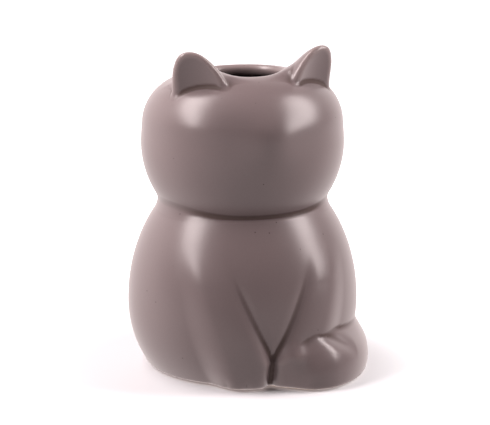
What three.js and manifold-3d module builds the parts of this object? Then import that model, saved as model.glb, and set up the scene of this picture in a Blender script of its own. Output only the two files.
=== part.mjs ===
// A seated cat in slip-cast stoneware, open at the crown of the head to hold flowers.
//
// The clay is made as separate pieces that are scored, wetted with slip and luted together before
// the firing: a body cup, a head bulb that sits on its neck, two ears, two forelegs, a curled tail
// and a low bare foot that the whole cat stands on.
//
// Millimetres, +Z up. The cat faces -Y, and its left side, with the tail, is +X.

import * as THREE from "three";
import { mergeVertices } from "three/addons/utils/BufferGeometryUtils.js";
import Module from "manifold-3d";

const wasm = await Module();
wasm.setup();

// Driving dimensions

// Stations of the form: the height of each above the table, and the half-width there.
const BASE_RADIUS = 43.5;
const BELLY_HEIGHT = 29.5;
const BELLY_RADIUS = 52.7;
const NECK_HEIGHT = 75;
const NECK_RADIUS = 38;
const FACE_HEIGHT = 103;
const FACE_RADIUS = 46;
const MOUTH_HEIGHT = 134.8;
const MOUTH_RADIUS = 18.6;
// The head is this much narrower than the neck that it sits on.
const NECK_STEP = 2;

// Front-to-back size over width, for the head and the body alike.
const DEPTH_SHARE = 0.96;
// Superellipse exponent of a bulge: 2 is a plain ellipse, and more gives a squarer shoulder.
const ROUND_FULLNESS = 2;
const CROWN_FULLNESS = 2.9;
// The mouth leans back by this many degrees, so its front lip is the higher one.
const MOUTH_TILT = 2;

// Clay thicknesses, and the layer of slip in each luted joint.
const WALL = 4;
const FLOOR = 5;
const LUTE = 0.3;

// The bare foot: its height, how far it is set in, the width of its bearing band, and the small
// round along the lower edge of the body.
const FOOT_HEIGHT = 1;
const FOOT_INSET = 0.8;
const FOOT_BAND = 8;
const EDGE_ROUND = 1.5;

// The muzzle, a soft swelling in the middle of the face.
const MUZZLE_PROUD = 1.6;
const MUZZLE_HEIGHT = 111;
const MUZZLE_SPREAD = 12;

// Ears: the bearing that each one faces, and its foot's distance from the axis, ahead and aside.
const EAR_FACING = 36;
const EAR_AHEAD = 25;
const EAR_ASIDE = 5.2;
// The size of an ear, the part of it below the lip of the mouth, and the lean of the tip.
const EAR_RADIUS = 16.5;
const EAR_RISE = 13.2;
const EAR_SINK = 15;
const EAR_LEAN_AHEAD = 10.8;
const EAR_LEAN_ASIDE = 6.1;
const EAR_BLUNTNESS = 0.415;
// The hollow in the face of an ear: how far its edges stand ahead of the middle, and its depth.
const EAR_HOLLOW_SET = 3.6;
const EAR_HOLLOW_DEPTH = 6.4;

// Forelegs: from the shoulder down to the paw, in bearing, height and half-thickness.
const SHOULDER_BEARING = 36;
const SHOULDER_HEIGHT = 52;
const SHOULDER_RADIUS = 15;
const SHOULDER_PROUD = 1.5;
const PAW_BEARING = 17.5;
const PAW_RADIUS = 14;
const PAW_PROUD = 6;
const PAW_LIFT = 7;
// Thickness of a leg over its width.
const LEG_FLATNESS = 0.7;
// Clefts between the toes: their places across the paw, half-width, depth and height.
const TOE_CLEFTS = [-4.5, 4.5];
const CLEFT_RADIUS = 1.2;
const CLEFT_DEPTH = 1.2;
const CLEFT_HEIGHT = 7;

// Tail: from its root behind, round the left flank, to a blunt tip that lies against the left paw.
const TAIL_ROOT_BEARING = 165;
const TAIL_TIP_BEARING = 24;
const TAIL_ROOT_RADIUS = 11.5;
const TAIL_TIP_RADIUS = 17.5;
const TAIL_PROUD = 11.3;
const TAIL_TIP_PROUD = 17;
const TAIL_LIFT = 5.5;
// Thickness of the tail over its height.
const TAIL_FLATNESS = 0.8;
// Shares of the tail's sweep where it lies along the flank.
const TAIL_FLANK_SHARES = [0.25, 0.5, 0.75];

// Facets
const SHELL_SIDES = 48;
const ARC_STEPS = 7;
const LIP_STEPS = 4;
const LIMB_SIDES = 20;
const LIMB_STEPS = 14;
const CAP_STEPS = 4;
const CLEFT_SIDES = 10;
const WELD = 1e-4;

// Room beyond the cat for the blocks that trim it flat.
const BLOCK = 4 * BELLY_RADIUS;

const UP = new THREE.Vector3(0, 0, 1);

// Horizontal unit vector at a bearing, in degrees from the front and positive towards +X.
function heading(bearing) {
  const angle = THREE.MathUtils.degToRad(bearing);
  return new THREE.Vector3(Math.sin(angle), -Math.cos(angle), 0);
}

// Bulges: the four superellipse arcs that the outline of the cat is made of

// An arc from its widest point to an end point, on the axis of the vase.
class Bulge {
  constructor(widestHeight, widestRadius, endHeight, endRadius, fullness) {
    this.widestHeight = widestHeight;
    this.widestRadius = widestRadius;
    this.endHeight = endHeight;
    this.power = 2 / fullness;
    this.fullness = fullness;
    const share = (1 - (endRadius / widestRadius) ** fullness) ** (1 / fullness);
    this.reach = (endHeight - widestHeight) / share;
  }

  // Half-width at a height.
  radiusAt(height) {
    const share = Math.min(1, Math.abs((height - this.widestHeight) / this.reach));
    return this.widestRadius * (1 - share ** this.fullness) ** (1 / this.fullness);
  }

  // Points from the widest height to another height, spaced evenly round the arc.
  points(height) {
    const share = Math.min(1, Math.abs((height - this.widestHeight) / this.reach));
    const last = Math.asin(share ** (1 / this.power));
    return Array.from({ length: ARC_STEPS + 1 }, (_, step) => {
      const angle = (last * step) / ARC_STEPS;
      const rise = this.reach * Math.sin(angle) ** this.power;
      const radius = this.widestRadius * Math.cos(angle) ** this.power;
      return new THREE.Vector2(radius, this.widestHeight + rise);
    });
  }
}

// Points of two bulges that meet at their widest height, from the end of one to that of the other.
function throughWidest(start, startHeight, end, endHeight) {
  return start.points(startHeight).reverse().concat(end.points(endHeight).slice(1));
}

const LIP_RADIUS = WALL / 2;

// The four arcs of the cat's outline, moved inwards by some millimetres of clay.
function outline(inset) {
  const belly = [BELLY_HEIGHT, BELLY_RADIUS - inset];
  const face = [FACE_HEIGHT, FACE_RADIUS - inset];
  const seat = NECK_RADIUS - NECK_STEP - inset;
  const lip = MOUTH_RADIUS + LIP_RADIUS;
  return {
    bodyBelow: new Bulge(...belly, 0, BASE_RADIUS - inset, ROUND_FULLNESS),
    bodyAbove: new Bulge(...belly, NECK_HEIGHT, NECK_RADIUS - inset, ROUND_FULLNESS),
    headBelow: new Bulge(...face, NECK_HEIGHT, seat, ROUND_FULLNESS),
    headAbove: new Bulge(...face, MOUTH_HEIGHT - inset, lip, CROWN_FULLNESS),
  };
}

const outer = outline(0);
const inner = outline(WALL);

// A point on the skin of the body, or some millimetres proud of it.
function bodySkin(bearing, height, proud) {
  const bulge = height < BELLY_HEIGHT ? outer.bodyBelow : outer.bodyAbove;
  const point = heading(bearing).multiplyScalar(bulge.radiusAt(height) + proud);
  return point.setY(point.y * DEPTH_SHARE).setZ(height);
}

// Solids

// A closed geometry as a solid that can be joined and cut.
function solid(geometry) {
  const bare = new THREE.BufferGeometry();
  bare.setAttribute("position", geometry.getAttribute("position"));
  bare.setIndex(geometry.getIndex());
  const welded = mergeVertices(bare, WELD);
  const corners = welded.getIndex().array;
  const triangles = [];
  for (let i = 0; i < corners.length; i += 3) {
    const [a, b, c] = corners.slice(i, i + 3);
    if (a !== b && b !== c && c !== a) triangles.push(a, b, c);
  }
  return new wasm.Manifold(
    new wasm.Mesh({
      numProp: 3,
      vertProperties: welded.getAttribute("position").array,
      triVerts: new Uint32Array(triangles),
    }),
  );
}

// The largest body of a cut solid, without the shavings that a grazing cut can leave.
function largest(made) {
  return made.decompose().reduce((best, body) => (body.volume() > best.volume() ? body : best));
}

function mesh(name, made, material) {
  const { vertProperties, triVerts } = made.getMesh();
  const geometry = new THREE.BufferGeometry();
  geometry.setAttribute("position", new THREE.BufferAttribute(vertProperties, 3));
  geometry.setIndex(new THREE.BufferAttribute(triVerts, 1));
  geometry.computeVertexNormals();
  const piece = new THREE.Mesh(geometry, material);
  piece.name = name;
  return piece;
}

// Moves every vertex of a geometry by a function of its place.
function reshape(geometry, move) {
  const positions = geometry.getAttribute("position");
  const point = new THREE.Vector3();
  for (let i = 0; i < positions.count; i += 1) {
    move(point.fromBufferAttribute(positions, i));
    positions.setXYZ(i, point.x, point.y, point.z);
  }
  return geometry;
}

// A profile of radius and height turned about the vertical axis.
function turned(profile, sides) {
  return new THREE.LatheGeometry(profile, sides).rotateX(Math.PI / 2);
}

// A rectangular block standing on a height, wide enough to trim the whole cat.
function block(bottom, top) {
  const box = new THREE.BoxGeometry(BLOCK, BLOCK, top - bottom);
  return solid(box.translate(0, 0, (bottom + top) / 2));
}

// Body: a cup with a floor, from the foot up to the flat rim of the neck

function bodyProfile() {
  const edge = FOOT_HEIGHT + EDGE_ROUND;
  const floor = FOOT_HEIGHT + FLOOR;
  return [
    new THREE.Vector2(0, FOOT_HEIGHT),
    new THREE.Vector2(outer.bodyBelow.radiusAt(FOOT_HEIGHT) - EDGE_ROUND, FOOT_HEIGHT),
    ...throughWidest(outer.bodyBelow, edge, outer.bodyAbove, NECK_HEIGHT),
    ...throughWidest(inner.bodyAbove, NECK_HEIGHT, inner.bodyBelow, floor),
    new THREE.Vector2(0, floor),
  ];
}

function flatten(point) {
  point.y *= DEPTH_SHARE;
}

// The body without its hollow, grown by some millimetres, to cut what is luted against it.
function bodyBlank(grow) {
  const grown = outline(-grow);
  const profile = [
    new THREE.Vector2(0, 0),
    ...throughWidest(grown.bodyBelow, 0, grown.bodyAbove, NECK_HEIGHT),
    new THREE.Vector2(0, NECK_HEIGHT),
  ];
  return solid(reshape(turned(profile, SHELL_SIDES), flatten));
}

// Head: an open bulb, from the neck up to the round lip of the mouth

// Swells the muzzle, leans the mouth back, and flattens the head from front to back.
function shapeHead(point) {
  const aside = point.x / MUZZLE_SPREAD;
  const above = (point.z - MUZZLE_HEIGHT) / MUZZLE_SPREAD;
  const swell = MUZZLE_PROUD * Math.exp(-(aside ** 2) - above ** 2);
  if (point.y < 0) point.y -= swell;
  flatten(point);
  const share = Math.max(0, (point.z - FACE_HEIGHT) / (MOUTH_HEIGHT - FACE_HEIGHT));
  point.z -= share * point.y * Math.tan(THREE.MathUtils.degToRad(MOUTH_TILT));
}

// The lip is the half-round edge of the wall, nosing in towards the axis.
function lipPoints() {
  return Array.from({ length: LIP_STEPS - 1 }, (_, step) => {
    const angle = (Math.PI * (step + 1)) / LIP_STEPS;
    return new THREE.Vector2(
      MOUTH_RADIUS + LIP_RADIUS * (1 - Math.sin(angle)),
      MOUTH_HEIGHT - LIP_RADIUS * (1 - Math.cos(angle)),
    );
  });
}

function headProfile() {
  const around = [
    ...throughWidest(outer.headBelow, NECK_HEIGHT, outer.headAbove, MOUTH_HEIGHT),
    ...lipPoints(),
    ...throughWidest(inner.headAbove, MOUTH_HEIGHT - WALL, inner.headBelow, NECK_HEIGHT),
  ];
  return [...around, around[0].clone()];
}

// The head without its hollow, grown by some millimetres.
function headBlank(grow) {
  const grown = outline(-grow);
  const crown = MOUTH_HEIGHT + grow;
  const profile = [
    new THREE.Vector2(0, NECK_HEIGHT),
    ...throughWidest(grown.headBelow, NECK_HEIGHT, grown.headAbove, crown),
    new THREE.Vector2(0, crown),
  ];
  return solid(reshape(turned(profile, SHELL_SIDES), shapeHead));
}

// Ears

// A blunt cone standing on its foot, with its own depth behind and ahead of the middle.
function earCone(behind, ahead) {
  const height = EAR_SINK + EAR_RISE;
  const side = Array.from({ length: ARC_STEPS + 1 }, (_, step) => {
    const rise = Math.sin((Math.PI / 2) * (step / ARC_STEPS));
    return new THREE.Vector2(EAR_RADIUS * (1 - rise) ** EAR_BLUNTNESS, height * rise);
  });
  const cone = turned([new THREE.Vector2(0, 0), ...side], LIMB_SIDES);
  return reshape(cone, (point) => {
    point.y *= (point.y > 0 ? behind : ahead) / EAR_RADIUS;
  });
}

// One ear, on the side of +X or -X: a cone with a scooped face, leaning out, seated on the head.
function ear(side) {
  const blank = earCone(EAR_RADIUS, EAR_RADIUS);
  const hollow = earCone(EAR_HOLLOW_DEPTH, BLOCK).translate(0, -EAR_HOLLOW_SET, 0);
  const place = (point) => {
    const lean = point.z / (EAR_SINK + EAR_RISE);
    point.y -= EAR_AHEAD + EAR_LEAN_AHEAD * lean;
    point.x += side * (EAR_ASIDE + EAR_LEAN_ASIDE * lean);
    point.z += MOUTH_HEIGHT - EAR_SINK;
    point.applyAxisAngle(UP, THREE.MathUtils.degToRad(side * EAR_FACING));
  };
  const scooped = solid(reshape(blank, place)).subtract(solid(reshape(hollow, place)));
  return largest(scooped.subtract(headBlank(LUTE)));
}

// Limbs

// A limb with domed ends, bent along a curve: its half-width is a function of the share of the
// length, and its oval sections stay square to the curve, with the flat side away from the axis.
function limb(curve, radiusAt, flatness, grow) {
  const length = curve.getLength();
  const first = radiusAt(0) + grow;
  const last = radiusAt(1) + grow;
  const stations = [];
  for (let step = 0; step < CAP_STEPS; step += 1) {
    const angle = (Math.PI / 2) * (step / CAP_STEPS);
    const ahead = first * flatness * Math.cos(angle);
    stations.push(new THREE.Vector2(first * Math.sin(angle), -ahead));
  }
  for (let step = 0; step <= LIMB_STEPS; step += 1) {
    const share = step / LIMB_STEPS;
    stations.push(new THREE.Vector2(radiusAt(share) + grow, share * length));
  }
  for (let step = CAP_STEPS - 1; step >= 0; step -= 1) {
    const angle = (Math.PI / 2) * (step / CAP_STEPS);
    const beyond = last * flatness * Math.cos(angle);
    stations.push(new THREE.Vector2(last * Math.sin(angle), length + beyond));
  }
  const bend = (point) => {
    const share = THREE.MathUtils.clamp(point.y / length, 0, 1);
    const along = curve.getTangentAt(share);
    const centre = curve.getPointAt(share).addScaledVector(along, point.y - share * length);
    const away = new THREE.Vector3(centre.x, centre.y, 0).normalize();
    const out = away.addScaledVector(along, -away.dot(along)).normalize();
    const across = new THREE.Vector3().crossVectors(out, along);
    const { x, z } = point;
    point.copy(centre).addScaledVector(out, x * flatness).addScaledVector(across, z);
  };
  return solid(reshape(new THREE.LatheGeometry(stations, LIMB_SIDES), bend));
}

function legCurve(side) {
  const shoulder = bodySkin(
    side * SHOULDER_BEARING,
    SHOULDER_HEIGHT,
    SHOULDER_PROUD - SHOULDER_RADIUS * LEG_FLATNESS,
  );
  const paw = bodySkin(side * PAW_BEARING, PAW_LIFT, PAW_PROUD - PAW_RADIUS * LEG_FLATNESS);
  const middleBearing = (side * (SHOULDER_BEARING + PAW_BEARING)) / 2;
  const middleRadius = (SHOULDER_RADIUS + PAW_RADIUS) / 2;
  const middleProud = (SHOULDER_PROUD + PAW_PROUD) / 2;
  const middle = bodySkin(
    middleBearing,
    (SHOULDER_HEIGHT + PAW_LIFT) / 2,
    middleProud - middleRadius * LEG_FLATNESS,
  );
  return new THREE.CatmullRomCurve3([shoulder, middle, paw]);
}

function legBlank(side, grow) {
  const radiusAt = (share) => THREE.MathUtils.lerp(SHOULDER_RADIUS, PAW_RADIUS, share);
  return limb(legCurve(side), radiusAt, LEG_FLATNESS, grow);
}

// One foreleg, with the clefts between its toes, seated on the body and cut flat at the foot.
function foreleg(side) {
  const body = bodyBlank(LUTE);
  let leg = legBlank(side, 0).subtract(body).intersect(block(FOOT_HEIGHT, NECK_HEIGHT));
  for (const aside of TOE_CLEFTS) {
    const spread = THREE.MathUtils.radToDeg(aside / BASE_RADIUS);
    const front = bodySkin(side * PAW_BEARING + spread, PAW_LIFT, PAW_PROUD - CLEFT_DEPTH);
    const groove = new THREE.CapsuleGeometry(CLEFT_RADIUS, CLEFT_HEIGHT, CAP_STEPS, CLEFT_SIDES);
    leg = leg.subtract(solid(groove.rotateX(Math.PI / 2).translate(front.x, front.y, FOOT_HEIGHT)));
  }
  return largest(leg);
}

// Half-height of the tail at a share of its length: it swells into a club towards the tip.
function tailRadius(share) {
  return THREE.MathUtils.lerp(TAIL_ROOT_RADIUS, TAIL_TIP_RADIUS, share ** 2);
}

// A point on the middle line of the tail, where its outer face stands proud of the body.
function tailPoint(bearing, radius, proud) {
  return bodySkin(bearing, TAIL_LIFT, proud - radius * TAIL_FLATNESS);
}

function tailCurve() {
  const turn = TAIL_ROOT_BEARING - TAIL_TIP_BEARING;
  const root = tailPoint(TAIL_ROOT_BEARING, TAIL_ROOT_RADIUS, 0);
  const flank = TAIL_FLANK_SHARES.map((share) =>
    tailPoint(TAIL_ROOT_BEARING - turn * share, tailRadius(share), TAIL_PROUD),
  );
  const tip = tailPoint(TAIL_TIP_BEARING, TAIL_TIP_RADIUS, TAIL_TIP_PROUD);
  return new THREE.CatmullRomCurve3([root, ...flank, tip]);
}

function tailBlank(grow) {
  return limb(tailCurve(), tailRadius, TAIL_FLATNESS, grow);
}

function tail() {
  const seated = tailBlank(0).subtract(bodyBlank(LUTE)).subtract(legBlank(1, LUTE));
  return largest(seated.intersect(block(FOOT_HEIGHT, NECK_HEIGHT)));
}

// Foot: the bare band under the body, the paws and the tail, round a shallow recess

function foot() {
  const print = bodyBlank(-FOOT_INSET)
    .add(legBlank(1, -FOOT_INSET))
    .add(legBlank(-1, -FOOT_INSET))
    .add(tailBlank(-FOOT_INSET));
  const recess = new THREE.CylinderGeometry(
    BASE_RADIUS - FOOT_BAND,
    BASE_RADIUS - FOOT_BAND,
    BLOCK,
    SHELL_SIDES,
  );
  return print
    .intersect(block(0, FOOT_HEIGHT))
    .subtract(solid(reshape(recess.rotateX(Math.PI / 2), flatten)));
}

// Assembly

const glaze = new THREE.MeshStandardMaterial({ color: 0x85756f, roughness: 0.4, metalness: 0 });
const bareClay = new THREE.MeshStandardMaterial({ color: 0xcfc2b4, roughness: 0.9, metalness: 0 });

const cat = new THREE.Group();
cat.add(
  mesh("body_shell", solid(reshape(turned(bodyProfile(), SHELL_SIDES), flatten)), glaze),
  mesh("head_shell", solid(reshape(turned(headProfile(), SHELL_SIDES), shapeHead)), glaze),
  mesh("right_ear", ear(-1), glaze),
  mesh("left_ear", ear(1), glaze),
  mesh("right_foreleg", foreleg(-1), glaze),
  mesh("left_foreleg", foreleg(1), glaze),
  mesh("tail", tail(), glaze),
  mesh("foot_rim", foot(), bareClay),
);

// The origin is on the table, under the middle of the cat's own extent.
const extent = new THREE.Box3().setFromObject(cat);
const middle = extent.getCenter(new THREE.Vector3());
cat.position.set(-middle.x, -middle.y, 0);

const vase = new THREE.Group();
vase.add(cat);

export default vase;
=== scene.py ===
# %% [markdown]
# # A seated cat vase in satin-glazed stoneware
#
# The vase is slip-cast stoneware: a body cup, a head bulb open at the crown, two ears, two forelegs
# and a curled tail, luted together with slip and fired. The glaze runs over the luted seams, so what
# the eye meets is a few continuous skins and not the pieces under them. This lesson presses those
# skins out of rough clay, glazes them, and lights them as a small still life.

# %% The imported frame
from math import cos, radians, sin, tan

import bmesh
import bpy
import numpy as np
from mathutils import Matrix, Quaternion, Vector


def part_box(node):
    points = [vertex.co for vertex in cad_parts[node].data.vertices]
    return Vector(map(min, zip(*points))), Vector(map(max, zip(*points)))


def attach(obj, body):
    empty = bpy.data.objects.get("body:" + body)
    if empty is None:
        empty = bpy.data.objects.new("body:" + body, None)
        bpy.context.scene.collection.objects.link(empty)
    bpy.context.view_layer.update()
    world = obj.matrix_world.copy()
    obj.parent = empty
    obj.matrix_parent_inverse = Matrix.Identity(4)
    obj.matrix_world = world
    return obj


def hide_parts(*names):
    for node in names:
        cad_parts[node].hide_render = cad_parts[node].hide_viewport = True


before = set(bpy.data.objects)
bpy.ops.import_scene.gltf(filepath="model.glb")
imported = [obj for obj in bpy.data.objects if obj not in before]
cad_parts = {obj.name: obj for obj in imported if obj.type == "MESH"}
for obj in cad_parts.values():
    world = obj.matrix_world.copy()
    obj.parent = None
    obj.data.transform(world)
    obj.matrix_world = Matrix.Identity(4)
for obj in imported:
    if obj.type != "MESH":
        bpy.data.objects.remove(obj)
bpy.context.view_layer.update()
print("frame:", sorted(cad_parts))

# %% [markdown]
# ## Sizes
#
# The clay is worked in millimetres, measured from the axis that the body is turned about, because a
# potter thinks in those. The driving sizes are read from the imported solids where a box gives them.
# The others repeat the sizes that the solids were drawn with. The belly is drawn in by a hair, so
# that the pressed skin stays inside the box of the solids.

# %% Sizes from the frame
MM = 0.001
HAIR = 0.02


def box_in_mm(node):
    low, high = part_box(node)
    return np.array(low) / MM, np.array(high) / MM


body_low, body_high = box_in_mm("body_shell")
head_low, head_high = box_in_mm("head_shell")
AXIS = (body_low + body_high) / 2 * (1, 1, 0)
BELLY_RADIUS = (body_high[0] - body_low[0]) / 2 - HAIR
DEPTH_SHARE = (body_high[1] - body_low[1]) / (body_high[0] - body_low[0])
FOOT_HEIGHT = body_low[2]
NECK_HEIGHT = body_high[2]
FACE_RADIUS = (head_high[0] - head_low[0]) / 2
EAR_TOP = box_in_mm("left_ear")[1][2]
print(f"belly {2 * BELLY_RADIUS:.1f} mm wide, neck {NECK_HEIGHT:.1f} mm up, ears {EAR_TOP:.1f} mm up")

# %% [markdown]
# ## Clay as a distance
#
# Legs that swell out of a chest, or an ear that flares out of a crown, are hard to join with edges
# and faces, and easy to join as distances. Each form below is a function that says how many
# millimetres a point lies outside the clay. The lesser of two such distances is the two forms
# together. Rounding that minimum over a few millimetres is the fettled seam where a thumb has
# smoothed slip along the joint.

# %% Joining and cutting distances
def ease(share):
    """0 to 1 with a soft start and end."""
    share = np.clip(share, 0, 1)
    return share * share * (3 - 2 * share)


def between(start, end, share):
    return start + (end - start) * share


def span(value, stretch):
    """How far a value has gone through a stretch, 0 to 1, eased."""
    return ease((value - stretch[0]) / (stretch[1] - stretch[0]))


def join(a, b, soft):
    """Two forms as one, with the seam between them filled over soft millimetres."""
    near = np.maximum(soft - np.abs(a - b), 0) / soft
    return np.minimum(a, b) - near * near * soft / 4


def cut(a, b, soft):
    """What two forms share, with the edge rounded over soft millimetres."""
    return -join(-a, -b, soft)


def reach(points):
    """Distance from the axis, in the plan that is a little shallower than it is wide."""
    return np.hypot(points[:, 0], points[:, 1] / DEPTH_SHARE)


def bearing(points):
    """Degrees round from the front, positive towards the cat's left."""
    return np.degrees(np.arctan2(points[:, 0], -points[:, 1] / DEPTH_SHARE))


# %% [markdown]
# ## Bulges
#
# Body and head are turned forms. An ellipse gives the belly, and a squarer superellipse gives the
# full crown that turns over towards the mouth. The same bulge, drawn in by the wall, is the hollow.

# %% Turned bulges
WALL = 4.0
FLOOR = 5.0
BASE_RADIUS = 43.5
BELLY_HEIGHT = 29.5
NECK_RADIUS = 38.0
NECK_STEP = 2.0
FACE_HEIGHT = 103.0
MOUTH_HEIGHT = 134.8
MOUTH_RADIUS = 18.6
LIP_RADIUS = WALL / 2
CROWN_TURN = 14.0
# Exponents of the bulges: 2 is a plain ellipse, and more gives a squarer shoulder.
ROUND = 2.0
CROWN_FULLNESS = 2.9
# The share of a bulge's half-height above which its radius is no longer followed.
NEAR_POLE = 0.99


def half_height(widest, rise, end, fullness):
    """Half-height of the bulge that narrows from its widest radius to an end radius over a rise."""
    return rise / (1 - (end / widest) ** fullness) ** (1 / fullness)


def bulge(points, height, widest, below, above, fullness=ROUND):
    up = points[:, 2] - height
    tall = np.where(up < 0, below, above)
    power = between(ROUND, fullness, ease(up / CROWN_TURN))
    share = (reach(points) / widest) ** power + (np.abs(up) / tall) ** power
    return widest * (share ** (1 / power) - 1)


def body_halves(inset):
    """Widest radius of the body, and its half-heights below and above that."""
    widest = BELLY_RADIUS - inset
    below = half_height(widest, BELLY_HEIGHT, BASE_RADIUS - inset, ROUND)
    above = half_height(widest, NECK_HEIGHT - BELLY_HEIGHT, NECK_RADIUS - inset, ROUND)
    return widest, below, above


def body_bulge(points, inset=0.0):
    return bulge(points, BELLY_HEIGHT, *body_halves(inset))


def body_radius(height):
    """Radius of the body's skin at a height."""
    widest, below, above = body_halves(0.0)
    up = np.asarray(height) - BELLY_HEIGHT
    share = np.minimum(np.abs(up) / np.where(up < 0, below, above), NEAR_POLE)
    return widest * np.sqrt(1 - share**2)


def head_bulge(points, inset=0.0):
    widest = FACE_RADIUS - inset
    seat = NECK_RADIUS - NECK_STEP - inset
    below = half_height(widest, FACE_HEIGHT - NECK_HEIGHT, seat, ROUND)
    rise = MOUTH_HEIGHT - inset - FACE_HEIGHT
    above = half_height(widest, rise, MOUTH_RADIUS + LIP_RADIUS, CROWN_FULLNESS)
    return bulge(points, FACE_HEIGHT, widest, below, above, CROWN_FULLNESS)


print(f"radius of the body at the floor {body_radius(FOOT_HEIGHT):.1f} mm")

# %% [markdown]
# ## Forelegs
#
# The forelegs are low relief on the belly, so they are drawn as a height above it: how far the skin
# is lifted at each bearing and height. The inner edge rises steeply from a crease beside the chest,
# the outer edge runs out softly on the flank, and the whole leg stands further out towards the paw.
# A low web joins the paws at the floor, and shallow clefts part the toes. The left paw has a knuckle,
# and is drawn in on the side where the tail lies against it.

# %% Foreleg relief
SHOULDER_HEIGHT = 46.0
SHOULDER_PROUD = 1.2
SHOULDER_FADE = 18.0
PAW_PROUD = 4.6
PAW_STEP = 0.6
PAW_TOP = (25.0, 14.0)
PAW_LIFT = 9.0
PAW_ROUND = 15.0
PAW_SOFTNESS = 5.0
LEG_MIDDLE = -1.2
CREASE_LOW = (13.0, 0.3)
CREASE_HIGH = (45.0, 16.3)
FLANK_LOW = (3.0, 36.0)
FLANK_HIGH = (46.0, 48.0)
INNER_SHARE = (0.065, 0.17)
INNER_HEIGHTS = (14.0, 38.0)
OUTER_SHARE = 0.5
CREASE_SOFTNESS = 0.05
GROOVE_WIDTH = 2.8
GROOVE_DEPTH = 0.8
GROOVE_TOP = 58.0
GROOVE_FADE = 20.0
GROOVE_FLOOR = 6.0
WEB_RISE = 0.8
WEB_HEIGHTS = (1.0, 2.6)
TOE_CLEFTS = (-4.5, 4.5)
CLEFT_WIDTH = 1.1
CLEFT_DEPTH = 0.5
CLEFT_HEIGHT = 8.0
KNUCKLE = (9.5, 15.5)
KNUCKLE_SPREAD = 5.0
KNUCKLE_PROUD = 2.0
PAW_SIDE = (8.0, 16.0)
PAW_SIDE_HEIGHTS = (28.0, 18.0)
PAW_SIDE_DROP = 0.4
# Points nearer to the axis than this are drawn in as if they were this far from it.
AXIS_GUARD = 1.0


def edge_bearing(height, low, high):
    """Bearing of an edge that runs straight between two (height, bearing) points."""
    return between(low[1], high[1], np.maximum(height - low[0], 0) / (high[0] - low[0]))


def leg_front(height):
    """How far the middle of a leg stands out from the belly at a height."""
    share = (SHOULDER_HEIGHT - height) / (SHOULDER_HEIGHT - PAW_LIFT)
    proud = between(SHOULDER_PROUD, PAW_PROUD - PAW_STEP, np.clip(share, 0, 1))
    proud = proud + PAW_STEP * span(height, PAW_TOP)
    proud = proud * ease((SHOULDER_HEIGHT + SHOULDER_FADE - height) / SHOULDER_FADE)
    lifted = (height + PAW_LIFT + np.hypot(height - PAW_LIFT, PAW_SOFTNESS)) / 2
    under = np.clip((lifted - height) / PAW_ROUND, 0, 1)
    tucked = PAW_ROUND * (1 - np.sqrt(1 - under**2))
    return proud + body_radius(lifted) - body_radius(height) - tucked


def leg_relief(points):
    """Height of both legs above the belly."""
    height = points[:, 2]
    turn = np.abs(bearing(points) - LEG_MIDDLE)
    inner = edge_bearing(height, CREASE_LOW, CREASE_HIGH)
    outer = edge_bearing(height, FLANK_LOW, FLANK_HIGH)
    share = (turn - inner) / (outer - inner)
    start = cut(share, 0, CREASE_SOFTNESS)
    rise = 1 - np.exp(-start / between(*INNER_SHARE, span(height, INNER_HEIGHTS)))
    rise = np.maximum(rise, between(WEB_RISE, 0, span(height, WEB_HEIGHTS)))
    fall = ease((1 - share) / OUTER_SHARE)
    dropped = PAW_SIDE_DROP * span(bearing(points), PAW_SIDE) * span(height, PAW_SIDE_HEIGHTS)
    relief = leg_front(height) * rise * fall * (1 - dropped)
    beside = np.radians(turn - inner) * reach(points) / GROOVE_WIDTH
    sunk = GROOVE_DEPTH * ease((GROOVE_TOP - height) / GROOVE_FADE) * ease(height / GROOVE_FLOOR)
    relief = relief - sunk * np.exp(-(beside**2))
    aside = np.radians(bearing(points) - KNUCKLE[0]) * reach(points)
    away = np.hypot(aside, height - KNUCKLE[1]) / KNUCKLE_SPREAD
    relief = relief + KNUCKLE_PROUD * np.exp(-(away**2))
    across = np.radians(turn - (inner + outer) / 2) * reach(points)
    for cleft in TOE_CLEFTS:
        groove = np.exp(-(((across - cleft) / CLEFT_WIDTH) ** 2))
        relief = relief - CLEFT_DEPTH * groove * ease((CLEFT_HEIGHT - height) / CLEFT_HEIGHT)
    return relief


def belly_and_legs(points):
    """The belly, with each point drawn in by the relief above it."""
    drawn = points.copy()
    drawn[:, :2] *= (1 - leg_relief(points) / np.maximum(reach(points), AXIS_GUARD))[:, None]
    return body_bulge(drawn)


print(f"paws stand {leg_front(PAW_LIFT):.1f} mm out from the belly")

# %% [markdown]
# ## Tail
#
# The tail is a roll of clay, laid round the foot of the left flank from its root behind to a blunt
# tip against the left paw. It thickens towards the tip, where it also stands furthest out. A soft
# fold runs down it from the top of the tip, where the roll was bent.

# %% Tail distance
TAIL_ROOT_BEARING = 165.0
TAIL_TIP_BEARING = 26.0
TAIL_ROOT_RADIUS = 9.0
TAIL_TIP_RADIUS = 19.0
TAIL_THICKENING = 4.0
TAIL_PROUD = 11.0
TAIL_TIP_PROUD = 17.0
TAIL_LIFT = 5.5
TAIL_FLATNESS = 0.8
TAIL_SWELL = (0.0, 0.25)
TAIL_CLUB = (0.65, 1.0)
FOLD_TOP = (24.0, 25.0)
FOLD_END = (42.0, 14.0)
FOLD_WIDTH = 3.2
FOLD_DEPTH = 1.8


def tail_section(turn):
    """Half-height of the tail at a bearing, its half-thickness, and the radius of its middle line."""
    share = np.clip((TAIL_ROOT_BEARING - turn) / (TAIL_ROOT_BEARING - TAIL_TIP_BEARING), 0, 1)
    half = between(TAIL_ROOT_RADIUS, TAIL_TIP_RADIUS, share**TAIL_THICKENING)
    proud = TAIL_PROUD * span(share, TAIL_SWELL)
    proud = proud + (TAIL_TIP_PROUD - TAIL_PROUD) * span(share, TAIL_CLUB)
    return half, half * TAIL_FLATNESS, body_radius(TAIL_LIFT) + proud - half * TAIL_FLATNESS


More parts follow.
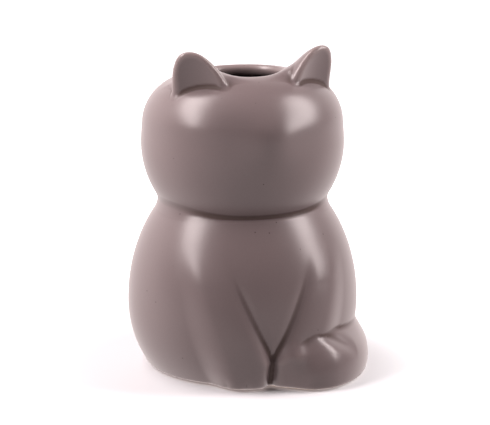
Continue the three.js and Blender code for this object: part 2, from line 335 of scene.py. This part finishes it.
def fold(turn, height, radius):
    """Depth of the fold behind the tip, which runs down the tail from the top of it."""
    run = np.radians(FOLD_END[0] - FOLD_TOP[0]) * radius
    drop = FOLD_END[1] - FOLD_TOP[1]
    along = np.radians(turn - FOLD_TOP[0]) * radius
    share = np.clip((along * run + (height - FOLD_TOP[1]) * drop) / (run**2 + drop**2), 0, 1)
    away = np.hypot(along - share * run, height - FOLD_TOP[1] - share * drop)
    return FOLD_DEPTH * (1 - share**2) * np.exp(-((away / FOLD_WIDTH) ** 2))


def tail(points):
    turn = bearing(points)
    half, thick, middle = tail_section(turn)
    past = np.maximum(TAIL_TIP_BEARING - turn, 0) + np.maximum(turn - TAIL_ROOT_BEARING, 0)
    along = np.radians(past) * middle / thick
    out = (reach(points) - middle) / thick
    up = (points[:, 2] - TAIL_LIFT) / half
    roll = thick * (np.sqrt(along**2 + out**2 + up**2) - 1)
    return roll + fold(turn, points[:, 2], middle + thick)


for end, half in (("root", TAIL_ROOT_RADIUS), ("tip", TAIL_TIP_RADIUS)):
    print(f"tail {TAIL_LIFT + half:.1f} mm high at its {end}")

# %% [markdown]
# ## Body and its hollow
#
# Belly, legs and tail are joined, and the clay is cut flat at the neck and at the foot. Slip fills
# the seam of the tail broadly near the floor and hardly at its top. The edges are rounded as a wet
# sponge leaves them. The hollow is drawn apart, to be taken out later.

# %% Body distance
TAIL_SEAM = (7.5, 2.4)
SEAM_HEIGHTS = (16.0, 26.0)
NECK_ROUND = 1.4
FOOT_EDGE = 0.8


def cat_body(points):
    seam = between(*TAIL_SEAM, span(points[:, 2], SEAM_HEIGHTS))
    clay = join(belly_and_legs(points), tail(points), seam)
    clay = cut(clay, points[:, 2] - NECK_HEIGHT, NECK_ROUND)
    return cut(clay, FOOT_HEIGHT - points[:, 2], FOOT_EDGE)


def body_hollow(points):
    return cut(body_bulge(points, WALL), FOOT_HEIGHT + FLOOR - points[:, 2], WALL)


# %% [markdown]
# ## Ears
#
# An ear is a blunt round cone that leans outwards, with its front scooped like a spoon. The face of
# it is turned a little more to the front than its place on the head. Its back and its inner edge
# flow into the crown, so that seam is wide. The scoop meets the head in a clean crease, so that seam
# is narrow.

# %% Ear distance
EAR_FACING = 36.0
EAR_FOOT = (25.0, 6.2)
EAR_LEAN = (10.8, 6.1)
EAR_RADIUS = 16.5
EAR_SINK = 15.0
EAR_BLUNTNESS = 0.415
EAR_HEIGHT = EAR_TOP - MOUTH_HEIGHT + EAR_SINK
FACE_FACING = 32.0
FACE_FRONT = 31.6
FACE_FROM = 131.0
FACE_RISE = 0.17
FACE_MIDDLE = 10.0
FACE_DISH = 30.0
FACE_HOLLOW = 1.5
RIM_ROUND = (4.5, 3.0)
RIM_HEIGHTS = (0.35, 0.75)
EAR_BACK_SEAM = 9.0
EAR_CREASE_SEAM = 1.5
CREASE_BEHIND = 9.0
# Keeps a power or a division away from zero.
TINY = 1e-6


def mirrored(points):
    """The points of both sides brought to the cat's left side."""
    return np.abs(points * (1, 0, 0)) + points * (0, 1, 1)


def cone(out, aside, up):
    """Distance outside a blunt cone that stands on its foot."""
    power = 1 / EAR_BLUNTNESS
    round_share = np.hypot(aside, out) / EAR_RADIUS + TINY
    level = round_share**power + up / EAR_HEIGHT - 1
    slant = power * round_share ** (power - 1) / EAR_RADIUS
    return np.maximum(level / np.hypot(slant, 1 / EAR_HEIGHT), -up)


def ear(points):
    """Distance outside the ear on the cat's left, and the width of the seam at its foot."""
    x, y, z = points.T
    angle = radians(EAR_FACING)
    up = z - (MOUTH_HEIGHT - EAR_SINK)
    lean = np.clip(up / EAR_HEIGHT, 0, 1)
    out = x * sin(angle) - y * cos(angle) - EAR_FOOT[0] - EAR_LEAN[0] * lean
    aside = x * cos(angle) + y * sin(angle) - EAR_FOOT[1] - EAR_LEAN[1] * lean
    turn = radians(FACE_FACING)
    front = x * sin(turn) - y * cos(turn) - FACE_FRONT
    across = x * cos(turn) + y * sin(turn) - FACE_MIDDLE
    hollow = FACE_HOLLOW * 4 * lean * (1 - lean) - across**2 / (2 * FACE_DISH)
    scooped = front - FACE_RISE * (z - FACE_FROM) + hollow
    seam = between(EAR_BACK_SEAM, EAR_CREASE_SEAM, ease((out + CREASE_BEHIND) / CREASE_BEHIND))
    rounded = between(*RIM_ROUND, span(lean, RIM_HEIGHTS))
    return cut(cone(out, aside, up), scooped, rounded), seam


print(f"ears {EAR_HEIGHT:.1f} mm from the sunk foot to the tip")

# %% [markdown]
# ## The whole cat, as one distance
#
# The head is nearly plain: the face has no features but a soft swelling for the muzzle, and the
# mouth of the vase leans back a little. The wall ends in a round lip. Head and shoulders are luted
# with slip. The lute is a tight crease under the chin, and is filled and smoothed round the sides.

# %% Cat distance
MUZZLE_PROUD = 3.4
MUZZLE_HEIGHT = 111.0
MUZZLE_SPREAD = 12.0
MOUTH_TILT = 2.0
THROAT = 5.0
SPONGED = 1.2
LUTE_SEAM = (2.0, 6.0)
LUTE_BEARINGS = (20.0, 75.0)


def upright(points):
    """The points moved as if the mouth were level and the face had no muzzle."""
    place = points.copy()
    share = np.maximum(0, (place[:, 2] - FACE_HEIGHT) / (MOUTH_HEIGHT - FACE_HEIGHT))
    place[:, 2] += share * place[:, 1] * tan(radians(MOUTH_TILT))
    front = np.hypot(place[:, 0], place[:, 2] - MUZZLE_HEIGHT) / MUZZLE_SPREAD
    swell = MUZZLE_PROUD * DEPTH_SHARE * np.exp(-(front**2))
    place[:, 1] += swell * ease(-place[:, 1] / FACE_RADIUS)
    return place


def cat(points):
    place = upright(points)
    ears, ear_seam = ear(mirrored(points))
    head = join(head_bulge(place), ears, ear_seam)
    lute = between(*LUTE_SEAM, span(np.abs(bearing(points)), LUTE_BEARINGS))
    clay = join(cat_body(points), head, lute)
    head_hollow = cut(head_bulge(place, WALL), place[:, 2] - MOUTH_HEIGHT + THROAT, THROAT)
    clay = cut(clay, -join(body_hollow(points), head_hollow, THROAT), SPONGED)
    bore = np.minimum(MOUTH_RADIUS - reach(place), points[:, 2] - NECK_HEIGHT)
    return cut(clay, bore, 2 * LIP_RADIUS)


# %% [markdown]
# ## Rough clay
#
# A distance has no surface until something is pressed against it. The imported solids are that
# something. Copies of them are swollen by half a millimetre, so that the slip gaps between them
# close, and a voxel remesh kneads the lumps into one closed skin of even squares.

# %% Lumps of clay
SWELL = 0.5
WELD = 1e-3


def kneaded(mesh, voxel):
    """A mesh as one closed skin of even squares."""
    lump = bpy.data.objects.new("lump", mesh)
    bpy.context.collection.objects.link(lump)
    weld = lump.modifiers.new("kneading", "REMESH")
    weld.mode = "VOXEL"
    weld.voxel_size = voxel
    depsgraph = bpy.context.evaluated_depsgraph_get()
    skin = bpy.data.meshes.new_from_object(lump.evaluated_get(depsgraph))
    bpy.data.objects.remove(lump)
    bpy.data.meshes.remove(mesh)
    return skin


def lumps(nodes):
    """Swollen copies of some solids, in millimetres about the axis."""
    shape = bmesh.new()
    for node_name in nodes:
        shape.from_mesh(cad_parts[node_name].data)
    bmesh.ops.scale(shape, vec=(1 / MM, 1 / MM, 1 / MM), verts=shape.verts)
    bmesh.ops.translate(shape, vec=Vector(-AXIS), verts=shape.verts)
    bmesh.ops.remove_doubles(shape, verts=shape.verts, dist=WELD)
    shape.normal_update()
    for vertex in shape.verts:
        vertex.co += vertex.normal * SWELL
    mesh = bpy.data.meshes.new("lumps")
    shape.to_mesh(mesh)
    shape.free()
    return mesh


# %% [markdown]
# ## Pressing the clay
#
# Each vertex walks down the slope of its distance until it lies on the surface. Between the walks
# the net is smoothed, so the squares stay even. What is left is a fair surface, which a gloss needs:
# a satin glaze shows every flat and kink in the form below it.

# %% Pressing onto a distance
FEEL = 0.05
LONGEST_STEP = 1.5
STEEPEST = 1e-4
SMOOTHING = 0.5
STEPS_PER_ROUND = 2


def slope(distance, points):
    """The direction in which a distance grows, by feeling to both sides along each axis."""
    feel = np.eye(3) * FEEL
    rises = [distance(points + d) - distance(points - d) for d in feel]
    return np.stack(rises, axis=1) / (2 * FEEL)


def pressed(distance, points):
    """The points after one step onto the surface."""
    way = slope(distance, points)
    steep = np.maximum((way * way).sum(axis=1), STEEPEST)
    step = way * (distance(points) / steep)[:, None]
    length = np.linalg.norm(step, axis=1, keepdims=True)
    return points - step * np.minimum(1, LONGEST_STEP / np.maximum(length, TINY))


def settle(mesh, distance, rounds):
    """Presses a mesh in millimetres onto a distance."""
    shape = bmesh.new()
    shape.from_mesh(mesh)
    for _ in range(rounds):
        bmesh.ops.smooth_vert(
            shape, verts=shape.verts, factor=SMOOTHING,
            use_axis_x=True, use_axis_y=True, use_axis_z=True,
        )
        points = np.array([v.co for v in shape.verts])
        for _ in range(STEPS_PER_ROUND):
            points = pressed(distance, points)
        for vertex, place in zip(shape.verts, points):
            vertex.co = place
    shape.to_mesh(mesh)
    shape.free()
    worst = np.abs(distance(points)).max()
    print(f"{len(points)} vertices, {worst:.3f} mm off the surface at worst")


# %% [markdown]
# ## Where the glaze breaks
#
# A satin glaze is thin on sharp edges, where the pale body shows through, and thick in creases,
# where it pools and darkens; that darkening of creases is partly painted shade. Both depend on how
# tightly the surface bends, so that is measured once and kept with each vertex for the glaze to read.

# %% Bend of the surface
BEND_REACH = 1.2


def bend(distance, points):
    """How tightly the surface bends, per millimetre: positive on an edge, negative in a crease."""
    feel = np.eye(3) * BEND_REACH
    around = sum(distance(points + d) + distance(points - d) for d in feel)
    steep = np.linalg.norm(slope(distance, points), axis=1)
    return (around - 6 * distance(points)) / BEND_REACH**2 / np.maximum(steep, STEEPEST)


def fired(mesh, distance):
    """A pressed mesh as an object in metres, with its bend kept as an attribute."""
    points = np.array([v.co for v in mesh.vertices])
    kept = mesh.attributes.new("bend", "FLOAT", "POINT")
    kept.data.foreach_set("value", bend(distance, points).astype(np.float32))
    mesh.vertices.foreach_set("co", ((points + AXIS) * MM).astype(np.float32).ravel())
    mesh.shade_smooth()
    mesh.update()
    piece = bpy.data.objects.new(mesh.name, mesh)
    bpy.context.collection.objects.link(piece)
    mesh.calc_loop_triangles()
    print(f"{mesh.name}: {len(mesh.loop_triangles)} triangles")
    return piece


# %% [markdown]
# ## The two glazed skins
#
# The whole cat is pressed as one skin, coarsely first, then kneaded again and pressed finely, so that
# the squares lie evenly and the lute at the neck is fair. The skin is then parted just above the
# lute: body, legs and tail below, head and ears above. Each part is closed across the thickness of
# the wall. The parting edge is marked sharp, so no shading shows it.

# %% Body and head
BODY_NODES = ("body_shell", "left_foreleg", "right_foreleg", "tail")
HEAD_NODES = ("head_shell", "left_ear", "right_ear")
PARTING_RISE = 1.2
PARTING_HEIGHT = NECK_HEIGHT + PARTING_RISE
SLICE_NEAR = 1e-4
ROUGH_VOXEL = 1.3
ROUGH_ROUNDS = 5
FINE_VOXEL = 0.95
FINE_ROUNDS = 8


def parted(skin, name, above):
    """The part of a skin above or below the parting, closed across the wall."""
    shape = bmesh.new()
    shape.from_mesh(skin)
    sliced = bmesh.ops.bisect_plane(
        shape, geom=[*shape.verts, *shape.edges, *shape.faces], dist=SLICE_NEAR,
        plane_co=(0, 0, PARTING_HEIGHT), plane_no=(0, 0, 1),
        clear_inner=above, clear_outer=not above,
    )
    rims = [e for e in sliced["geom_cut"] if isinstance(e, bmesh.types.BMEdge)]
    for edge in rims:
        edge.smooth = False
    bmesh.ops.triangle_fill(shape, use_beauty=True, edges=rims, normal=(0, 0, -1 if above else 1))
    bmesh.ops.recalc_face_normals(shape, faces=shape.faces)
    part = bpy.data.meshes.new(name)
    shape.to_mesh(part)
    print(f"{name}: {sum(not e.is_manifold for e in shape.edges)} open edges")
    shape.free()
    return part


skin = kneaded(lumps(BODY_NODES + HEAD_NODES), ROUGH_VOXEL)
settle(skin, cat, ROUGH_ROUNDS)
skin = kneaded(skin, FINE_VOXEL)
settle(skin, cat, FINE_ROUNDS)
glazed_body = fired(parted(skin, "glazed_body", above=False), cat)
glazed_head = fired(parted(skin, "glazed_head", above=True), cat)
bpy.data.meshes.remove(skin)

# %% [markdown]
# ## The bare foot
#
# Glaze would weld the vase to the kiln shelf, so the foot is wiped bare: a low band under body, paws
# and tail, with a shallow recess inside it. Four rings of points are its edges: the recess and the
# footprint that the glazed body leaves, each at the table and at the glaze. Faces join each ring to
# the next, and the last one to the first.

# %% Foot
FOOT_SIDES = 240
FOOT_INSET = 4.0
FOOT_BAND = 8.0
HALVINGS = 30


def ring(degrees, radius, height):
    """Points round the axis, at some bearings and radii and one height."""
    angle = np.radians(degrees)
    x, y = radius * np.sin(angle), -radius * np.cos(angle) * DEPTH_SHARE
    return np.stack([x, y, np.full(len(degrees), height)], axis=1)


def footprint(degrees):
    """Radius at which the body meets the foot, at each bearing."""
    low = np.zeros(len(degrees))
    high = np.full(len(degrees), 2 * BELLY_RADIUS)
    for _ in range(HALVINGS):
        radius = (low + high) / 2
        outside = cat_body(ring(degrees, radius, FOOT_HEIGHT + FOOT_EDGE)) > 0
        high = np.where(outside, radius, high)
        low = np.where(outside, low, radius)
    return low


turns = np.arange(FOOT_SIDES) * 360 / FOOT_SIDES
recess = BASE_RADIUS - FOOT_BAND
edge = footprint(turns) - FOOT_EDGE / 2 - FOOT_INSET
rings = ((recess, 0.0), (edge, 0.0), (edge, FOOT_HEIGHT), (recess, FOOT_HEIGHT))
places = np.concatenate([ring(turns, radius, height) for radius, height in rings])
numbers = np.arange(len(places)).reshape(len(rings), FOOT_SIDES)
onward, upward = np.roll(numbers, -1, axis=1), np.roll(numbers, -1, axis=0)
corners = (numbers, onward, np.roll(upward, -1, axis=1), upward)
faces = np.stack(corners, axis=-1).reshape(-1, len(corners))
foot_mesh = bpy.data.meshes.new("bare_foot")
foot_mesh.from_pydata(((places + AXIS) * MM).tolist(), [], faces.tolist())
bare_foot = bpy.data.objects.new("bare_foot", foot_mesh)
bpy.context.collection.objects.link(bare_foot)
print("bare foot:", len(foot_mesh.polygons), "faces")

# %% [markdown]
# ## Finishes
#
# One small function adds a node to a material with its settings and links, so each finish reads as
# a list of what it is made of. Three short ones call it for what comes often: a noise, a ramp and a
# blend of colours. Colours are written as they would be picked on a screen, and turned to the linear
# values that a shader works in.

# %% Node and colour helpers
def linear(code):
    """A colour written as sRGB hex, as linear RGBA."""
    parts = [int(code[i : i + 2], 16) / 255 for i in (1, 3, 5)]
    return (*(c / 12.92 if c <= 0.04045 else ((c + 0.055) / 1.055) ** 2.4 for c in parts), 1.0)


def node(tree, kind, settings=None, **inputs):
    """Adds a node with its settings, and its inputs set or linked by name or place."""
    made = tree.nodes.new(kind)
    for name, value in (settings or {}).items():
        setattr(made, name, value)
    for name, value in inputs.items():
        key = int(name[1:]) if name[0] == "_" else name.replace("_", " ")
        if isinstance(value, bpy.types.NodeSocket):
            tree.links.new(value, made.inputs[key])
        else:
            made.inputs[key].default_value = value
    return made


def per_metre(size):
    """Texture scale for features of a size in millimetres."""
    return 1 / (size * MM)


def noise(tree, place, size, detail):
    made = node(tree, "ShaderNodeTexNoise", Vector=place, Scale=per_metre(size), Detail=detail)
    return made.outputs["Fac"]


def ramp(tree, value, stretch, ends=(0.0, 1.0), kind="LINEAR"):
    """A number that goes from one end to the other while a value goes through a stretch."""
    made = node(
        tree, "ShaderNodeMapRange", {"interpolation_type": kind}, _0=value,
        From_Min=stretch[0], From_Max=stretch[1], To_Min=ends[0], To_Max=ends[1],
    )
    return made.outputs[0]


def blend(tree, share, first, second):
    """The first colour turned into the second by a share."""
    made = node(tree, "ShaderNodeMix", {"data_type": "RGBA"}, _0=share, _6=first, _7=second)
    return made.outputs[2]


def finish_named(name):
    """A new material and its tree, emptied."""
    material = bpy.data.materials.new(name)
    material.use_nodes = True
    tree = material.node_tree
    tree.nodes.clear()
    return material, tree


# %% [markdown]
# ## Satin stoneware glaze
#
# A magnesia satin glaze over grey-brown slip: soft sheen, no mirror. Its colour and sheen are a
# little mottled over a few centimetres. It has fine dark specks from the clay, breaks paler on edges,
# darkens and dulls in creases, and is wiped to a pale line at the foot. The darkening in creases is
# partly pooled glaze and partly painted shade. A faint orange peel keeps the highlights from being
# dead smooth.

# %% Satin glaze
GLAZE_COLOUR = "#736666"
GLAZE_COOL = "#6f6465"
BREAK_COLOUR = "#a39390"
# Crease colour: pooled glaze, and painted shade in the creases.
POOL_AND_SHADE_COLOUR = "#4f4340"
SPECK_COLOUR = "#3a302c"
WIPED_COLOUR = "#d8ccc6"
# Sizes in millimetres, each noise with the number of finer layers in it.
MOTTLE = (30.0, 3.0)
GRAIN = (0.8, 2.0)
PEEL = (2.6, 1.0)
PEEL_DEPTH = 0.1
PEEL_STRENGTH = 0.02
SPECK_SPACING = 7.0
SPECK_RADIUS = 0.22
SPECK_EDGE = 1.6
WIPED_LINE = 0.5
WIPED_SHARE = 0.5
# What a noise mostly spans, and what the tone and the roughness make of it.
NOISE_STRETCH = (0.3, 0.7)
GRAIN_TONES = (0.98, 1.02)
GLAZE_ROUGHNESS = (0.29, 0.32)
# Bends, per millimetre, over which the glaze thins, pools and darkens with painted shade, and loses
# its gloss.
THIN_BENDS = (0.12, 0.7)
THIN_SHARE = 0.3
POOL_AND_SHADE_BENDS = (-0.07, -0.45)
POOL_AND_SHADE_SHARE = 0.85
DULL_BENDS = (-0.07, -0.35)
GLOSS = (0.5, 0.05)
GLAZE_IOR = 1.52

satin_glaze, tree = finish_named("satin_stoneware_glaze")
place = node(tree, "ShaderNodeTexCoord").outputs["Object"]
bent = node(tree, "ShaderNodeAttribute", {"attribute_name": "bend"}).outputs["Fac"]
mottle = noise(tree, place, *MOTTLE)
clouded = blend(tree, mottle, linear(GLAZE_COOL), linear(GLAZE_COLOUR))
grainy = ramp(tree, noise(tree, place, *GRAIN), NOISE_STRETCH, GRAIN_TONES)
toned = node(tree, "ShaderNodeVectorMath", {"operation": "SCALE"}, _0=clouded, Scale=grainy)
thin = ramp(tree, bent, THIN_BENDS, (0.0, THIN_SHARE))
broken = blend(tree, thin, toned.outputs[0], linear(BREAK_COLOUR))
# Painted shade: creases are darkened towards the crease colour, for pooled glaze and for the shade in
# them.
thick = ramp(tree, bent, POOL_AND_SHADE_BENDS, (0.0, POOL_AND_SHADE_SHARE))
pooled_and_shaded = blend(tree, thick, broken, linear(POOL_AND_SHADE_COLOUR))
cells = node(tree, "ShaderNodeTexVoronoi", Vector=place, Scale=per_metre(SPECK_SPACING))
speck_share = SPECK_RADIUS / SPECK_SPACING
dot = ramp(tree, cells.outputs["Distance"], (speck_share, SPECK_EDGE * speck_share), (1.0, 0.0))
specked = blend(tree, dot, pooled_and_shaded, linear(SPECK_COLOUR))
height = node(tree, "ShaderNodeSeparateXYZ", Vector=place).outputs["Z"]
wiped_edge = [(FOOT_HEIGHT + line) * MM for line in (WIPED_LINE, WIPED_LINE / 2)]
wiped = ramp(tree, height, wiped_edge, (0.0, WIPED_SHARE))
edged = blend(tree, wiped, specked, linear(WIPED_COLOUR))
surface = node(
    tree, "ShaderNodeBump", Height=noise(tree, place, *PEEL),
    Strength=PEEL_STRENGTH, Distance=PEEL_DEPTH * MM,
)
glaze = node(
    tree, "ShaderNodeBsdfPrincipled", Base_Color=edged, IOR=GLAZE_IOR, Normal=surface.outputs[0],
    Roughness=ramp(tree, mottle, NOISE_STRETCH, GLAZE_ROUGHNESS),
    Specular_IOR_Level=ramp(tree, bent, DULL_BENDS, GLOSS),
)
node(tree, "ShaderNodeOutputMaterial", Surface=glaze.outputs[0])
print(satin_glaze.name, "has", len(tree.nodes), "nodes")

# %% [markdown]
# ## Bare stoneware
#
# The wiped foot shows the fired body itself: pale buff, quite matt, with a sandy grain.

# %% Bare clay
CLAY_COLOUR = "#d6cabd"
GROG_COLOUR = "#b9a996"
GROG = (0.7, 4.0)
GROG_DEPTH = 0.1
GROG_STRENGTH = 0.3
CLAY_ROUGHNESS = 0.85
CLAY_IOR = 1.5

bare_clay, tree = finish_named("bare_fired_stoneware")
place = node(tree, "ShaderNodeTexCoord").outputs["Object"]
grog = noise(tree, place, *GROG)
sandy = blend(tree, grog, linear(CLAY_COLOUR), linear(GROG_COLOUR))
rough = node(
    tree, "ShaderNodeBump", Height=grog, Strength=GROG_STRENGTH, Distance=GROG_DEPTH * MM
)
clay = node(
    tree, "ShaderNodeBsdfPrincipled",
    Base_Color=sandy, Roughness=CLAY_ROUGHNESS, IOR=CLAY_IOR, Normal=rough.outputs[0],
)
node(tree, "ShaderNodeOutputMaterial", Surface=clay.outputs[0])
print(bare_clay.name, "has", len(tree.nodes), "nodes")

# %% [markdown]
# ## Pieces and what they stand for
#
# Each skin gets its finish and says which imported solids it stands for. The fired vase is one stiff
# thing, so all three ride on the root.

# %% Finishes on the pieces
for piece, material, slot, nodes in (
    (glazed_body, satin_glaze, "satin_glaze", BODY_NODES),
    (glazed_head, satin_glaze, "satin_glaze", HEAD_NODES),
    (bare_foot, bare_clay, "bare_clay", ("foot_rim",)),
):
    piece.data.materials.append(material)
    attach(piece, "root")
    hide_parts(*nodes)
    print(piece.name, "stands for", ", ".join(nodes))

# %% [markdown]
# ## Floor
#
# The vase stands on a white paper sweep. In the photo the paper is burnt out to white a little way
# off, and only a soft shadow is left near the foot, so the sweep glows from there outwards: painted
# light, nil near the foot and growing away from it. What it throws back onto the vase comes from the
# lower half of the room below, which is easier to balance.

# %% Floor
FLOOR_HALF = 6.0
FLOOR_COLOUR = "#d8dadd"
PAPER_ROUGHNESS = 0.9
# Painted light: the paper glows, nil near the foot and full further off, about a point a little to
# the cat's right.
PAINTED_FLOOR_LIGHT = 0.9
PAINTED_LIGHT_SPAN = (0.05, 0.15)
PAINTED_LIGHT_CENTRE = (-0.022, 0, 0)

floor_shape = bmesh.new()
bmesh.ops.create_grid(floor_shape, x_segments=1, y_segments=1, size=FLOOR_HALF)
floor_mesh = bpy.data.meshes.new("floor")
floor_shape.to_mesh(floor_mesh)
floor_shape.free()
floor = bpy.data.objects.new("floor", floor_mesh)
bpy.context.collection.objects.link(floor)
sweep, tree = finish_named("white_paper_sweep")
place = node(tree, "ShaderNodeTexCoord").outputs["Object"]
# Painted light on the paper: an emission that grows with distance from the foot.
away = node(tree, "ShaderNodeVectorMath", {"operation": "DISTANCE"}, _0=place, _1=PAINTED_LIGHT_CENTRE)
painted_floor_light = ramp(tree, away.outputs["Value"], PAINTED_LIGHT_SPAN, (0.0, PAINTED_FLOOR_LIGHT), "SMOOTHSTEP")
paper = node(
    tree, "ShaderNodeBsdfPrincipled", Base_Color=linear(FLOOR_COLOUR), Roughness=PAPER_ROUGHNESS,
    Emission_Color=(1, 1, 1, 1), Emission_Strength=painted_floor_light,
)
node(tree, "ShaderNodeOutputMaterial", Surface=paper.outputs[0])
floor_mesh.materials.append(sweep)
floor.visible_diffuse = False
floor.visible_glossy = False

# %% [markdown]
# ## Softboxes
#
# Two tall oval softboxes light the vase, one at each side and above the head. Each leans its top to
# the back, which is why the highlights on cheek and chest slant. Their light is faintly pink. A box
# is set by its radiance, so its highlight keeps its brightness when the size of the box changes.

# %% Softboxes
LIGHT_DISTANCE = 0.6
LIGHT_COLOUR = "#fff3f2"


def direction(azimuth, elevation):
    """Unit vector from the vase towards an azimuth, from the front, and an elevation."""
    a, e = radians(azimuth), radians(elevation)
    return Vector((sin(a) * cos(e), -cos(a) * cos(e), sin(e)))


def softbox(name, azimuth, elevation, lean, width, height, radiance):
    """A tall light of an even radiance, facing the vase, its top leaning to the back."""
    lamp = bpy.data.lights.new(name, "AREA")
    lamp.shape = "ELLIPSE"
    lamp.size = width
    lamp.size_y = height
    lamp.color = linear(LIGHT_COLOUR)[:3]
    lamp.energy = radiance * np.pi * (np.pi / 4 * width * height)
    towards = direction(azimuth, elevation)
    box = bpy.data.objects.new(name, lamp)
    box.location = towards * LIGHT_DISTANCE + Vector((0, 0, NECK_HEIGHT * MM))
    roll = Quaternion((0, 0, 1), radians(-lean if azimuth > 0 else lean))
    box.rotation_euler = ((-towards).to_track_quat("-Z", "Y") @ roll).to_euler()
    bpy.context.collection.objects.link(box)
    print(f"{name}: {lamp.energy:.2f} W")


softbox(
    "left_softbox", azimuth=-94, elevation=47, lean=41, width=0.24, height=0.95, radiance=13.2
)
softbox(
    "right_softbox", azimuth=72, elevation=34, lean=26, width=0.24, height=0.66, radiance=12.0
)

# %% [markdown]
# ## Room
#
# The room behind the vase is white, and the room in front and the ceiling are nearly dark. That is
# why the front of the cat is deep in tone while its edges are pale. Below the horizon lies the light
# that the paper throws back, which is stronger towards the back.

# %% White room, dark behind the camera
BACK_LIGHT = 1.7
FRONT_LIGHT = 0.05
FLOOR_FRONT = 0.85
FLOOR_BACK = 1.65
CEILING_LIGHT = 0.03
# Where one tone of the room turns into another, as parts of a unit direction.
WALL_TURN = (-0.1, 0.6)
FLOOR_TURN = (-0.4, 0.4)
HORIZON_TURN = (-0.2, 0.1)
CEILING_TURN = (0.35, 0.8)

world = bpy.data.worlds.new("white_room")
bpy.context.scene.world = world
world.use_nodes = True
tree = world.node_tree
tree.nodes.clear()
way = node(tree, "ShaderNodeTexCoord").outputs["Generated"]
axes = node(tree, "ShaderNodeSeparateXYZ", Vector=way)
walls = ramp(tree, axes.outputs["Y"], WALL_TURN, (FRONT_LIGHT, BACK_LIGHT), "SMOOTHSTEP")
above = ramp(tree, axes.outputs["Z"], HORIZON_TURN, kind="SMOOTHSTEP")
overhead = ramp(tree, axes.outputs["Z"], CEILING_TURN, kind="SMOOTHSTEP")
upper = node(tree, "ShaderNodeMix", _0=overhead, _2=walls, _3=CEILING_LIGHT)
lower = ramp(tree, axes.outputs["Y"], FLOOR_TURN, (FLOOR_FRONT, FLOOR_BACK), "SMOOTHSTEP")
light = node(tree, "ShaderNodeMix", _0=above, _2=lower, _3=upper.outputs[0])
room = node(
    tree, "ShaderNodeBackground", Color=linear(LIGHT_COLOUR), Strength=light.outputs[0]
)
node(tree, "ShaderNodeOutputWorld", Surface=room.outputs[0])
bpy.context.scene.view_settings.view_transform = "Standard"

# %% [markdown]
# ## Camera
#
# A short telephoto lens, a little to the cat's right and a little above, not quite a metre away.

# %% Camera
CAMERA_AZIMUTH = -17.0
CAMERA_ELEVATION = 14.0
CAMERA_DISTANCE = 0.876
CAMERA_LENS = 141.6
SENSOR_WIDTH = 36.0
AIM_HEIGHT = 75.0
IMAGE_WIDTH = 490
SHIFT_PIXELS = (2.4, -12.5)

lens = bpy.data.cameras.new("camera")
lens.lens = CAMERA_LENS
lens.sensor_width = SENSOR_WIDTH
lens.sensor_fit = "HORIZONTAL"
lens.shift_x = SHIFT_PIXELS[0] / IMAGE_WIDTH
lens.shift_y = SHIFT_PIXELS[1] / IMAGE_WIDTH
camera = bpy.data.objects.new("camera", lens)
back = direction(CAMERA_AZIMUTH, CAMERA_ELEVATION)
aim = Vector((AXIS[0] * MM, AXIS[1] * MM, AIM_HEIGHT * MM))
camera.location = aim + back * CAMERA_DISTANCE
camera.rotation_euler = (-back).to_track_quat("-Z", "Y").to_euler()
bpy.context.collection.objects.link(camera)
bpy.context.scene.camera = camera
print(f"camera {CAMERA_DISTANCE} m from the vase, {CAMERA_LENS} mm lens")
